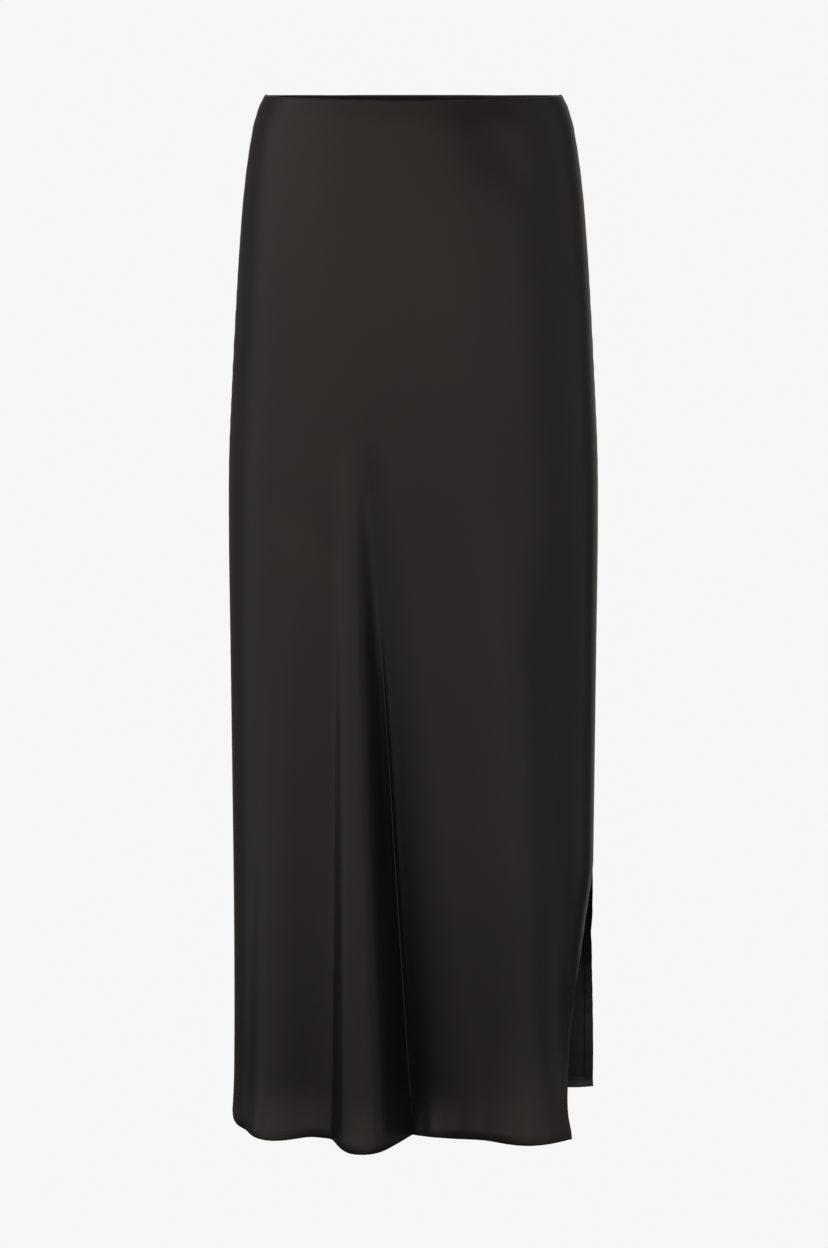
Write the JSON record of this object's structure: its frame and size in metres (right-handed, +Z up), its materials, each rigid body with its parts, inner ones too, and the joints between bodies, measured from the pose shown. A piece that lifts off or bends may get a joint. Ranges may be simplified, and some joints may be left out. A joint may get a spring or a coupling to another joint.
{
  "type": "satin maxi skirt",
  "caption": "Long bias-cut slip skirt in black satin, worn shape with no wearer, concealed elastic waist and a side slit.",
  "frame": {"origin": "centre of the waist opening, level with the back's top edge, where the wearer's waist holds the skirt", "axes": "+Z up out of the waist; the front faces -Y; +X is the wearer's left, the side with the slit"},
  "size_m": [0.3554, 0.2574, 0.9855],
  "materials": {
    "satin": "black satin with a soft broad sheen",
    "elastic": "matt ribbed black elastic"
  },
  "bodies": {
    "root": {"front_panel": "satin", "back_panel": "satin", "waist_elastic": "elastic"}
  },
  "joints": []
}
